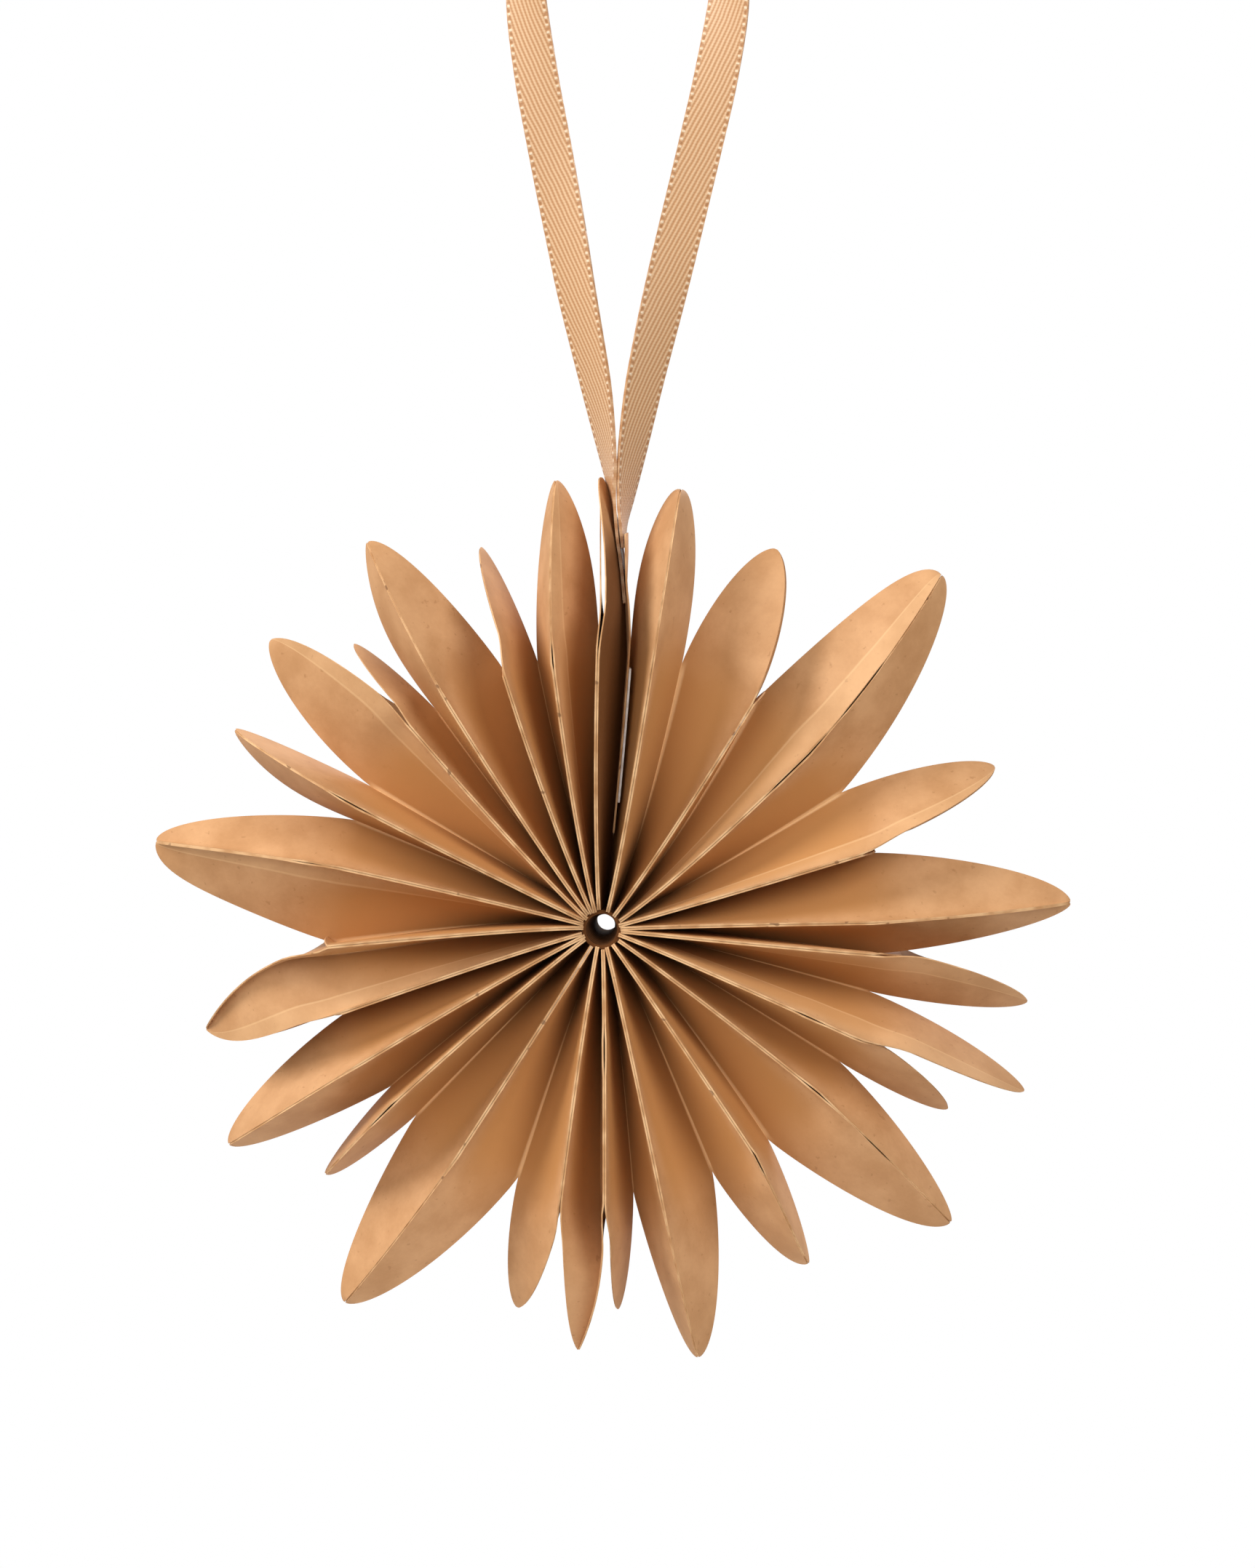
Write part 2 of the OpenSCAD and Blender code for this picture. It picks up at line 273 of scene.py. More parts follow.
# %% [markdown]
# ## Shader maths
# Finishes are easier to read when their maths looks like maths. Nodes could be made and linked one by
# one, but that hides the thought. So a small class wraps a socket and adds a Math node for each
# operator, and one method makes every other node.

# %% Shader maths


class Signal:
    """A socket that takes part in sums, each of which adds a Math node."""

    def __init__(self, finish, socket):
        self.finish = finish
        self.socket = socket

    def math(self, operation, *others):
        return self.finish.node("Math", {"operation": operation}, dict(enumerate((self, *others))))

    def __add__(self, other):
        return self.math("ADD", other)

    def __sub__(self, other):
        return self.math("SUBTRACT", other)

    def __rsub__(self, other):
        return self.finish.node("Math", {"operation": "SUBTRACT"}, {0: other, 1: self})

    def __mul__(self, other):
        return self.math("MULTIPLY", other)

    __radd__ = __add__
    __rmul__ = __mul__

    def wave(self):
        return self.math("SINE")

    def size(self):
        return self.math("ABSOLUTE")

    def step(self, low, high):
        """0 below low and 1 above high, with a soft change between."""
        return self.finish.node(
            "MapRange", {"interpolation_type": "SMOOTHSTEP"},
            {"Value": self, "From Min": low, "From Max": high},
        )

    def beside(self, output):
        """Another output of the same node."""
        return Signal(self.finish, self.socket.node.outputs[output])


class Finish:
    """The node tree of a new material or world, and one method that fills it."""

    def __init__(self, owner):
        owner.use_nodes = True
        self.owner = owner
        self.tree = owner.node_tree
        self.tree.nodes.clear()

    def node(self, kind, settings=None, sockets=None, output=0):
        """Makes a node and gives back one of its outputs."""
        made = self.tree.nodes.new("ShaderNode" + kind)
        for key, value in (settings or {}).items():
            setattr(made, key, value)
        for key, value in (sockets or {}).items():
            if isinstance(value, Signal):
                self.tree.links.new(value.socket, made.inputs[key])
            else:
                made.inputs[key].default_value = value
        return Signal(self, made.outputs[output]) if made.outputs else None

    def mix(self, factor, a, b):
        """A colour between two others."""
        return self.node("Mix", {"data_type": "RGBA"}, {0: factor, 6: a, 7: b}, 2)

    def surface(self, sockets):
        """Ends a material in a Principled shader."""
        shader = self.node("BsdfPrincipled", None, sockets)
        self.node("OutputMaterial", None, {"Surface": shader})
        return self.owner


def new_finish(name):
    return Finish(bpy.data.materials.new(name))


def srgb(red, green, blue):
    """A colour given as 0 to 255 on screen, as Blender's linear colour."""
    return tuple(((c / 255 + 0.055) / 1.055) ** 2.4 for c in (red, green, blue)) + (1.0,)


def own_place(finish):
    """Where a point is on the object, in metres."""
    return finish.node("TexCoord", None, None, "Object")


def noise(finish, place, scale, detail=3.0, roughness=0.55):
    return finish.node(
        "TexNoise", None, {"Vector": place, "Scale": scale, "Detail": detail, "Roughness": roughness}
    )


print("mid brown in linear light", [round(c, 3) for c in srgb(180, 130, 85)[:3]])

# %% [markdown]
# ## Kraft card
# Kraft card is matt brown paper with long fibres pressed into it. Close up it shows soft cloudy patches
# and fine specks. The clouds and specks are noise on Object coordinates, so that they stay the same
# size on every card. Deep between the cards the brown is darkened and reddened as painted shade, on top
# of the shade that the lamps give. The pressed valleys and creases are paler, partly worn and partly a
# painted highlight, and the strip between a crease and the rim is painted lighter. Every point of a sheet
# carries the distances for that as attributes.

# %% Kraft card
CARD_LIGHT = srgb(208, 159, 113)
CARD_DARK = srgb(178, 128, 82)
CARD_SPECK = srgb(148, 98, 56)
# Painted shade deep between the cards: a redder brown, and a dark brown in the deepest folds
CARD_PAINTED_INNER_SHADE = srgb(188, 133, 79)
CARD_PAINTED_FOLD_SHADE = srgb(92, 52, 20)
# Pale valleys and creases, partly worn card and partly painted highlight
CREASE_WEAR_AND_HIGHLIGHT = srgb(236, 196, 146)
CLOUDS, SPECKS, FIBRES = 130, 800, 1500  # noise scales, about so many to a metre
# In millimetres from the hub: where the pale valley starts and ends, and where the painted inner shade ends
VALLEY_START, VALLEY_END, PAINTED_INNER_SHADE_END = (10, 26), (43, 46), (40, 54)


def carried(finish, name):
    """A number that the points of the sheet carry."""
    return finish.node("Attribute", {"attribute_name": name}, None, "Fac")


def card_face():
    finish = new_finish("kraft_card")
    place = own_place(finish)
    clouds = noise(finish, place, CLOUDS, 4.0).step(0.28, 0.72)
    fibre = noise(finish, place, FIBRES, 4.0, 0.7)
    specks = noise(finish, place, SPECKS, 2.0).step(0.66, 0.74)
    tone = finish.mix(clouds * 0.6 + fibre * 0.4, CARD_DARK, CARD_LIGHT)
    tone = finish.mix(specks * 0.35, tone, CARD_SPECK)

    # Painted shade: darker and redder deep between the cards, on top of the shade that the lamps give
    reach = carried(finish, "reach")
    painted_shade_depth = carried(finish, "painted_shade_depth")
    tone = finish.mix(painted_shade_depth.step(0.02, 0.12) * (1 - reach.step(*PAINTED_INNER_SHADE_END)), tone, CARD_PAINTED_INNER_SHADE)
    tone = finish.mix(painted_shade_depth.step(0.16, 0.85) * 0.85, tone, CARD_PAINTED_FOLD_SHADE)

    # Paler valleys and creases, partly worn and partly painted highlight; the strip between a crease and the
    # rim is painted lighter
    valley = 1 - carried(finish, "from_middle").step(0.15, 0.4)
    valley = valley * reach.step(*VALLEY_START) * (1 - reach.step(*VALLEY_END))
    from_crease = carried(finish, "from_crease")
    fold = 1 - from_crease.size().step(0.05, 0.22)
    painted_light_strip = 1 - from_crease.step(-0.2, 0.1)
    tone = finish.mix(valley * 0.8 + fold * 0.3 + painted_light_strip * 0.15, tone, CREASE_WEAR_AND_HIGHLIGHT)

    height = fibre + from_crease.step(-0.2, 0.2) * 0.8
    bump = finish.node("Bump", None, {"Height": height, "Strength": 0.12, "Distance": 0.1 * MM})
    return finish.surface({
        "Base Color": tone, "Roughness": 0.55 + fibre * 0.2, "Specular IOR Level": 0.25, "Normal": bump,
    })


kraft_card = card_face()
print(kraft_card.name, "has", len(kraft_card.node_tree.nodes), "nodes")

# %% [markdown]
# ## Cut edge
# Where the card was cut, the fibres are torn: the edge is paler and rougher, with dark nicks here and
# there. It shows as the bright line along every ridge. It could be painted by its place on the sheet,
# but the rim that Solidify makes can have a material of its own, which keeps the line sharp.

# %% Cut edge
EDGE_LIGHT = srgb(214, 171, 124)
EDGE_DARK = srgb(180, 131, 84)
EDGE_NICK = srgb(112, 70, 36)


def card_edge():
    finish = new_finish("card_cut_edge")
    place = own_place(finish)
    torn = noise(finish, place, 320, 2.0, 0.5)
    tone = finish.mix(torn.step(0.3, 0.7), EDGE_DARK, EDGE_LIGHT)
    nicks = noise(finish, place, 430, 1.0, 0.5).step(0.7, 0.74)
    tone = finish.mix(nicks * 0.7, tone, EDGE_NICK)
    return finish.surface({"Base Color": tone, "Roughness": 0.9})


cut_edge = card_edge()
print(cut_edge.name, "has", len(cut_edge.node_tree.nodes), "nodes")

# %% [markdown]
# ## Table of leaves
# From the hub to the end of the glue, a leaf's rims follow the ridge of its pocket, and its middle
# follows the valley that it shares with the next pocket. Past the glue it closes in on its tip in one
# of six ways: joined to its partner along the rims, loose, broad, close behind a broad neighbour,
# beside the seam, or edge on. Even spacing would be quicker, but the fan was opened by hand, so every
# pocket has its own line here.

# %% Table of leaves
LEFT, RIGHT = 1, -1
JOINED, LOOSE, BROAD, BEHIND, SEAM, EDGE_ON = range(6)
# The pockets, clockwise from the seam: angle of the ridge, of the valley after it, and of the inner end at
# the hub; then each leaf's tip distance, tip angle, how it is held and, where it bulges sideways, by what
# angle. Distances are in millimetres, angles in degrees.
POCKETS = [
    (78.9, 73.6, 71, (72.5, 80.1, JOINED, 1.2), (72.5, 80.1, JOINED, -0.6)),
    (56.3, 56.2, 48, (67.6, 65.6, LOOSE), (46.5, 55.6, LOOSE)),
    (40.5, 29.4, 25.5, (79.7, 46.3, JOINED), (79.7, 46.3, JOINED)),
    (16.6, 15.6, 14, (68.9, 22.1, LOOSE), (46, 15.4, LOOSE)),
    (1.9, -6, 4, (76.4, 3, JOINED), (76.4, 3, JOINED)),
    (-4.5, -14, -4.5, (49, -5.8, LOOSE), (70.5, -10.3, LOOSE)),
    (-22.3, -30.2, -16, (74.2, -21.8, LOOSE), (64.1, -28.4, LOOSE)),
    (-37, -52.9, -31.5, (75.1, -40.7, JOINED), (75.1, -40.7, JOINED)),
    (-55.4, -66.6, -52.5, (65.3, -59.1, JOINED), (65.3, -59.1, JOINED)),
    (-77.2, -84, -73.5, (73.5, -77.9, JOINED), (73.5, -77.9, JOINED)),
    (-89, -90.6, -85.5, (64.5, -88.3, LOOSE), (71, -93.6, BEHIND, 1.1)),
    (-98.4, -108.8, -103, (71, -93.6, BROAD, 1.1), (66, -102.9, LOOSE)),
    (-122.2, -134.4, -120.5, (76.6, -124.3, JOINED), (76.6, -124.3, JOINED)),
    (-140, -142.5, -149, (62.4, -137.9, JOINED), (62.4, -137.9, JOINED)),
    (-150.7, -161, -158.5, (72.5, -149.3, JOINED), (72.5, -149.3, JOINED)),
    (-162, -174.3, -168, (51, -161.5, LOOSE), (68.4, -164.8, BROAD, -2.1)),
    (-176.7, -175.4, -185, (68.4, -164.8, BEHIND, -2.1), (46, -177, LOOSE)),
    (-192.8, -202.3, -196, (75.3, -190.1, JOINED, -0.8), (75.3, -190.1, JOINED)),
    (-207.2, -210.2, -207, (68.7, -207.5, JOINED, 1.3), (68.7, -207.5, JOINED)),
    (-226.4, -231.7, -217, (72.2, -219.9, LOOSE), (61.8, -227.7, LOOSE)),
    (-236, -248.4, -228.5, (73.8, -238.1, JOINED, 1.7), (73.8, -238.1, JOINED)),
    (-249.6, -255.6, -239.5, (46.5, -249, LOOSE), (65.1, -251.5, LOOSE)),
    (-260.1, -268.8, -250.5, (73.3, -263.7, JOINED), (73.3, -263.7, JOINED, -1)),
    (-269.6, -274.8, -263, (73.3, -269.3, EDGE_ON), (73.3, -269.3, SEAM, -0.9)),
]
SEAM_ANGLE = 84.7


def hub_angle(pocket):
    """Angle of a pocket's inner end, carried on past both ends of the fan."""
    rounds, place = divmod(pocket, len(POCKETS))
    return POCKETS[place][2] - 360 * rounds


print(len(POCKETS), "pockets round the hub")

# %% [markdown]
# ## Made by hand
# No two petals of a hand-glued fan are alike. Some rims have come apart for a short way, some tips are
# blunter or more pointed, a few cards have a faint crease beside the ridge, and two valleys come
# forward. Each of these is a short list by the number of the pocket, counted from 1, so that one petal
# can be changed alone.

# %% Made by hand
# Where the rims of a pocket have come apart at the front: distances from the hub
PARTED = {
    3: [(35, 50), (51, 64)], 7: [(34, 39)], 8: [(41, 47), (54, 61)], 9: [(43, 48)], 11: [(16, 23)],
    14: [(43, 50)], 18: [(47, 53)], 19: [(42, 50)], 23: [(43, 48)],
}
PART_GAP = 0.09
PART_ENDS = 6  # a gap opens and closes over this part of its length
# Two powers that shape the way to the tip, and the leaves whose tips are blunter or more pointed
TIP_SHAPE = (1.42, 0.6)
TIP_SHAPES = {
    (1, LEFT): (1.42, 0.4), (1, RIGHT): (1.42, 0.4), (3, LEFT): (1.42, 0.5), (3, RIGHT): (1.42, 0.5),
    (12, LEFT): (1.65, 0.85), (16, RIGHT): (2.6, 0.9), (18, LEFT): (1.42, 0.52), (18, RIGHT): (1.42, 0.52),
    (24, RIGHT): (1.42, 0.42),
}
STIFF_RIDGES = (5, 18)  # pockets whose ridge keeps its thickness to the tip
# Valleys that come forward, by the pocket before them: how far at the end of the glue and towards the tip
SHALLOW = {11: (0.1, 0.85), 16: (0.6, 0.9)}
# Faint creases beside the ridge: where between the rim and the middle
CREASES = {
    (3, LEFT): 0.3, (4, LEFT): 0.2, (6, RIGHT): 0.35, (7, LEFT): 0.35, (16, RIGHT): 0.27, (18, LEFT): 0.2,
    (20, LEFT): 0.22, (23, RIGHT): 0.25,
}
print(len(PARTED), "pockets with parted rims,", len(CREASES), "creased leaves")

# %% [markdown]
# ## How card bends
# A glued rim is pressed into a narrow flat flange, and the card leaves it nearly straight back before
# it turns in to the fold in its middle. A subdivision surface could round such a bend, but it would
# round the flange away too. So the columns of the grid are moved by a few small rules, each a share
# from 0 to 1.

# %% How card bends
ACROSS = 18  # faces of a leaf from its front rim to its rear rim
FLANGE = 1.1
FLANGE_LIMIT = 0.45  # the most of a half depth that the flange takes up


def mix(a, b, t):
    return a + (b - a) * t


def ease(t):
    c = min(max(t, 0), 1)
    return c * c * (3 - 2 * c)


def flange_share(depth):
    """The part of a half depth that the flat flange along the rim takes up."""
    return min(FLANGE_LIMIT, FLANGE / depth)


def off_flange(v, flat, pressed):
    """Moves the columns of the grid so that the outermost faces are the flange, where it is pressed."""
    inner = 1 - 2 / ACROSS
    start = mix(inner, 1 - flat, pressed)
    if abs(v) > inner:
        size = mix(start, 1, (abs(v) - inner) / (1 - inner))
    else:
        size = start * abs(v) / inner
    return math.copysign(size, v)


def bowed(v, flat, curve):
    """Place of the card between the fold in its middle, 0, and its rim, 1."""
    u = min(1, abs(v) / (1 - flat))
    return mix(u, u * (2 - u), curve)


def turn_at(distance, r):
    """The angle that a distance across makes at a distance from the hub."""
    return math.degrees(distance / r)


def around(r, angle, y):
    a = math.radians(angle)
    return Vector((r * math.cos(a), y, r * math.sin(a))) * MM


print("half way from fold to rim, a well bowed card stands at", bowed(0.5, 0, 1))

# %% [markdown]
# ## One leaf
# A class keeps the numbers of one leaf and works out any point of it. Along the glue the point lies
# between the ridge and the valley. Past the glue the two lines run together at the tip, and the way
# they do it is how the leaf is held. A loose leaf leans back and is tilted along the line of sight, so
# that its rear half lies behind the front one. A simulated sheet could do this too, but could not be
# held to each petal's outline.

# %% One leaf
CARD_T = 0.28
TIP_SHARE = 0.75  # the pressed tips look thinner than the card
LEAF_R = 3.3  # from the hub's axis to the inner ends
HUB_HALF_DEPTH = 9.5
GLUE_R = 44.4
LEAF_HALF_W = 14.5
LEAST_HALF_DEPTH = 8.5
HALF_PITCH = CARD_T / 2 + 0.03
VALLEY_PITCH = 0.7 * CARD_T / 2  # pressed together, so that no light comes through
CARD_CURVE = 0.5
RIM_STEP = 0.002  # one rim of a pair lies just in front of the other
# How fast each kind of leaf gets narrower past the glue
NARROWING = {JOINED: 1, LOOSE: 0.4, BROAD: 0, BEHIND: 12, SEAM: 0.9, EDGE_ON: 12}
LOOSE_LEAN = 3
LOOSE_LENGTH = 20  # a leaf that is this much longer than the glue is quite free
LOOSE_TILT = (0.0645, 0.107)  # to the left and down, for each millimetre further back
SEAM_TILT = 0.065
PRESS_RUN = 6  # past the glue, until the rims are pressed together
# Shares of the way to the tip: where the flange and the bow have run out, and where the tilt and a
# shallow valley are reached; the shallow valley starts on the glued part
FLANGE_END, BOW_END, TILT_END, SHALLOW_END = 0.25, 0.3, 0.35, 0.6
SHALLOW_START = 0.3

# A point of a leaf: distance from the hub, angle and depth; the leaf's half depth there; how far the point
# is from the middle; and its place between the rim, 0, and the middle, 1
Spot = namedtuple("Spot", "r angle y depth across from_rim")


class Leaf:
    """One leaf-shaped card, by the number of its pocket, from 0, and its side."""

    def __init__(self, pocket, side):
        self.pocket, self.side = pocket, side
        self.ridge = POCKETS[pocket][0]
        before = SEAM_ANGLE if pocket == 0 else POCKETS[pocket - 1][1]
        self.valley = before if side == LEFT else POCKETS[pocket][1]
        self.hub = POCKETS[pocket][2]
        self.hub_valley = (self.hub + hub_angle(pocket - side)) / 2
        entry = POCKETS[pocket][3 if side == LEFT else 4]
        self.tip_r, self.tip_angle, self.hold = entry[:3]
        self.bulge = entry[3] if len(entry) > 3 else 0
        self.half_turn = self.ridge - self.valley
        self.freedom = min(1, (self.tip_r - GLUE_R) / LOOSE_LENGTH)
        self.tip_shape = TIP_SHAPES.get((pocket + 1, side), TIP_SHAPE)
        self.stiff = pocket + 1 in STIFF_RIDGES
        self.shallow = SHALLOW.get(pocket + 1 if side == RIGHT else pocket, (0, 0))

    def name(self):
        return f"pocket_{self.pocket + 1:02d}_{'left' if self.side == LEFT else 'right'}_leaf"

    def glue_half_depth(self):
        """The wider a pocket is spread where its glue ends, the flatter it is."""
        turns = [Leaf(self.pocket, side).half_turn for side in (LEFT, RIGHT)]
        wide = max(GLUE_R * math.sin(math.radians(abs(turn))) for turn in turns)
        return max(LEAST_HALF_DEPTH, math.sqrt(max(0, LEAF_HALF_W ** 2 - wide ** 2)))

    def card_share(self, r):
        """The card's thickness at a distance from the hub, as a share of the full one."""
        return 1 if self.stiff else mix(1, TIP_SHARE, ease((r - GLUE_R) / PRESS_RUN))

    def closing(self, t):
        """How wide the leaf still is on the way to its tip."""
        return max(0, 1 - t ** self.tip_shape[0]) ** self.tip_shape[1]

    def parted(self, r, v):
        """How far the front rim stands off its partner's."""
        gap = 0
        for start, end in PARTED.get(self.pocket + 1, []) if v < 0 else []:
            opens = ease(PART_ENDS * (r - start) / (end - start))
            closes = ease(PART_ENDS * (end - r) / (end - start))
            gap += PART_GAP * opens * closes
        return gap

    def stand(self, v, depth, forward):
        """How far back a point lies when the middle comes forward."""
        return mix(-forward, math.copysign(1 + RIM_STEP * self.side, v), abs(v)) * depth

    def glued(self, t, v):
        """A point from the hub, where t is 0, to the end of the glue, where it is 1."""
        r = mix(LEAF_R, GLUE_R, t)
        near = (1 - t) * math.sqrt(LEAF_R / r)
        rim = mix(self.ridge, self.hub, near) + self.side * turn_at(HALF_PITCH + self.parted(r, v), r)
        middle = mix(self.valley, self.hub_valley, near) - self.side * turn_at(VALLEY_PITCH, r)
        depth = mix(HUB_HALF_DEPTH, self.glue_half_depth(), math.sin(math.radians(90 * t)))
        flat = flange_share(depth)
        v = off_flange(v, flat, 1)
        forward = self.shallow[0] * ease((t - SHALLOW_START) / (1 - SHALLOW_START))
        share = bowed(v, flat, CARD_CURVE)
        y = self.stand(v, depth, forward)
        return Spot(r, mix(middle, rim, share), y, depth, abs(v) * depth, 1 - share)

    def free_lines(self, t, v):
        """Angles of the rims and of the middle past the glue."""
        r = mix(GLUE_R, self.tip_r, t)
        pressed = mix(HALF_PITCH, VALLEY_PITCH, ease((r - GLUE_R) / PRESS_RUN))
        out = self.side * turn_at(pressed * self.card_share(r) + self.parted(r, v), r)
        back = self.side * turn_at(VALLEY_PITCH * self.card_share(r), r)
        c = self.closing(t) * (GLUE_R / r) ** NARROWING[self.hold]
        aside = self.bulge * math.sin(math.pi * t)
        if self.hold == JOINED:
            line = mix(self.ridge, self.tip_angle, t)
            return line + out, line - self.half_turn * c + mix(out, -back, c) + aside
        if self.hold in (BROAD, BEHIND):
            line = mix(self.valley, self.tip_angle, t) + aside
            return line + self.half_turn * c + mix(-back, out, c), line - back
        line = mix((self.ridge + self.valley) / 2, self.tip_angle, t) + aside
        half = self.half_turn / 2 * c
        return line + half + out * c, line - half - back * c

    def free(self, t, v):
        """A point from the end of the glue, where t is 0, to the tip, where it is 1."""
        r = mix(GLUE_R, self.tip_r, t)
        depth = self.glue_half_depth() * self.closing(t)
        pressed = 1 if self.stiff else 1 - ease(t / FLANGE_END)
        flat = flange_share(depth)
        v = off_flange(v, flat, pressed)
        share = bowed(v, flat * pressed, CARD_CURVE * (1 - ease(t / BOW_END)))
        rim, middle = self.free_lines(t, v)
        angle = mix(middle, rim, share)
        y = self.stand(v, depth, mix(*self.shallow, ease(t / SHALLOW_END)))
        if self.hold in (SEAM, EDGE_ON):
            angle += turn_at(SEAM_TILT * y, r) * ease(t / TILT_END)
        if self.hold in (LOOSE, BROAD, BEHIND):
            a = math.radians(angle)
            tilt = LOOSE_TILT[1] * math.cos(a) - LOOSE_TILT[0] * math.sin(a)
            angle -= turn_at(tilt * y, r) * self.freedom * ease(t / TILT_END)
        if self.hold in (LOOSE, SEAM, EDGE_ON):
            y += LOOSE_LEAN * self.freedom * t ** 2
        return Spot(r, angle, y, depth, abs(v) * depth, 1 - share)


print("the first leaf is", round(2 * Leaf(0, LEFT).glue_half_depth(), 1), "mm deep where its glue ends")

# %% [markdown]
# ## Leaf sheets
# A grid is the natural start for a leaf: its rows run from the hub to the tip, its columns from the
# front rim to the rear one. Every point is moved to its place on the leaf, and keeps the distances that
# the card finish reads. The rows lie closer together towards the tip, where the outline turns fastest.
# A vertex group tells Solidify where the card has its full thickness.

# %% Leaf sheets
ALONG = 56  # faces of a leaf from the hub to the tip
LAST = 0.998  # how near the tip the sheet ends
LEAF_WIDTH = 10  # of a usual petal from its rim to its middle
NO_CREASE = 99
# Painted shadow on the last leaf beside the seam, which stands close behind the tab and the ribbon
SEAM_PAINTED_SHADOW = 1.1  # the last leaf stands close behind the tab and the ribbon
SEAM_SHADOW_END, SEAM_SHADOW_RUN = 52, 22  # from the hub, how far that goes, and over what length it runs out


def hub_reach(pocket):
    """How far the inner end of a pocket stands in from the others, as uneven as glued by hand."""
    return 0.2 + 0.2 * math.sin(2.4 * pocket)


def leaf_sheet(leaf):
    """The bent sheet of one leaf.

    Each point knows its distance from the hub, from the middle and from a crease, and how deep it lies
    between the cards, which the card finish turns into painted shade."""
    shape = bmesh.new()
    numbers = shape.verts.layers.float
    reach = numbers.new("reach")
    painted_shade_depth = numbers.new("painted_shade_depth")
    from_middle = numbers.new("from_middle")
    from_crease = numbers.new("from_crease")
    thickness = shape.verts.layers.deform.verify()
    crease = CREASES.get((leaf.pocket + 1, leaf.side))
    start = -hub_reach(leaf.pocket) / (GLUE_R - LEAF_R)
    bmesh.ops.create_grid(shape, x_segments=ALONG, y_segments=ACROSS, size=1)
    for vert in shape.verts:
        s, v = (vert.co.x + 1) / 2, vert.co.y
        if s <= 0.5:
            spot = leaf.glued(mix(start, 1, 2 * s), v)
        else:
            spot = leaf.free(LAST * (1 - (2 - 2 * s) ** 2), v)
        vert[reach] = spot.r
        # How deep the point lies between the cards, which the card finish paints as shade
        vert[painted_shade_depth] = (spot.depth - spot.across) / spot.r * (1 - leaf.shallow[0])
        # Painted shadow of the tab and the ribbon on the last leaf
        if leaf.hold == SEAM:
            vert[painted_shade_depth] += SEAM_PAINTED_SHADOW * (1 - ease((spot.r - SEAM_SHADOW_END) / SEAM_SHADOW_RUN))
        vert[from_middle] = spot.across
        vert[from_crease] = (spot.from_rim - crease) * LEAF_WIDTH if v < 0 and crease else NO_CREASE
        vert[thickness][0] = (leaf.card_share(spot.r) - TIP_SHARE) / (1 - TIP_SHARE)
        vert.co = around(spot.r, spot.angle, spot.y)
    sharp_rim(shape)
    for edge in shape.edges:
        if all(vert[from_middle] < 1e-6 for vert in edge.verts):
            edge.smooth = False
    return made_mesh(shape, leaf.name())


print("a leaf has", ALONG * ACROSS, "faces before it has its thickness")

# %% [markdown]
# ## Leaves on the frame
# Each leaf rides on its pocket and stands for the solid of the same name. When the fan folds, the real
# card flattens as its pocket closes.


def fold_axis(ridge):
    """The way in which a pocket flattens, square to its ridge."""
    across = math.radians(ridge + 90)
    return Vector((math.cos(across), 0, math.sin(across)))


for pocket in range(len(POCKETS)):
    for side in (LEFT, RIGHT):
        leaf = Leaf(pocket, side)
        piece = link("card_" + leaf.name(), leaf_sheet(leaf), (kraft_card, cut_edge))
        wall = thicken(piece, CARD_T * MM, 1)
        wall.vertex_group = piece.vertex_groups.new(name="full_thickness").name
        wall.thickness_vertex_group = TIP_SHARE
        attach(piece, f"pocket_{pocket + 1:02d}")
        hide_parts(leaf.name())
        axis = fold_axis(leaf.ridge)
        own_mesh(piece)
print(2 * len(POCKETS), "leaves on the frame")

# %% [markdown]
# ## Seam
# The two ends of the fan meet at the top. A short card tab is glued to the last valley and comes
# forward beside the first leaf, and a strip of white double-sided tape on its outer face holds the ring
# closed. Both are grids on the same bowed surface, the tape a little further out, so that it lies on
# the tab all along.

# %% Lines of the tab
TAB_START = 0.3  # along the glue
TAB_EDGE = (83.2, 84.5)  # angle of the front edge at the hub and at the end of the glue
TAB_FORWARD = 5.5
TAB_BOW = 1.6
TAB_GLUED = 0.68  # the part of the tab that lies along the glue
# Past the glue: distance from the hub, angles of the front edge and of the rear edge
TAB_TOP = [
    (48, 84.65, 85.6), (52.5, 85.3, 86.3), (56.5, 86.1, 86.4), (61, 86.5, 86.5), (64.5, 86.75, 86.7),
]


def tab_lines(t):
    """Distance from the hub, angle of the front edge and angle of the rear edge."""
    if t <= TAB_GLUED:
        q = mix(TAB_START, 1, t / TAB_GLUED)
        r, middle = Leaf(len(POCKETS) - 1, RIGHT).glued(q, 0)[:2]
        return r, mix(*TAB_EDGE, q), middle + 360 - 2 * turn_at(VALLEY_PITCH, r)
    rows = [tab_lines(TAB_GLUED), *TAB_TOP]
    place = (t - TAB_GLUED) / (1 - TAB_GLUED) * len(TAB_TOP)
    row = min(int(place), len(TAB_TOP) - 1)
    return [mix(a, b, place - row) for a, b in zip(rows[row], rows[row + 1])]


def tab_point(t, w, away):
    """A point of the tab, or of what lies on it: along it, from its rear edge, and off its middle."""
    r, edge, middle = tab_lines(t)
    return around(r, middle + (edge - middle) * w ** TAB_BOW - turn_at(away, r), -TAB_FORWARD * w)


print("the tab ends", tab_lines(1)[0], "mm from the hub")

# %% [markdown]
# ## White tape
# Double-sided tape has a white, slightly crumpled backing. A plain white would look like paper that was
# cut out, so fine noise shades it and makes its surface uneven.

# %% White tape
TAPE_SHADE = srgb(226, 220, 212)
TAPE_WHITE = srgb(252, 251, 249)


def tape_finish():
    finish = new_finish("white_tape")
    crumple = noise(finish, own_place(finish), 700, 3.0)
    tone = finish.mix(crumple.step(0.3, 0.7), TAPE_SHADE, TAPE_WHITE)
    bump = finish.node("Bump", None, {"Height": crumple, "Strength": 0.4, "Distance": 0.2 * MM})
    return finish.surface({"Base Color": tone, "Roughness": 0.6, "Normal": bump})


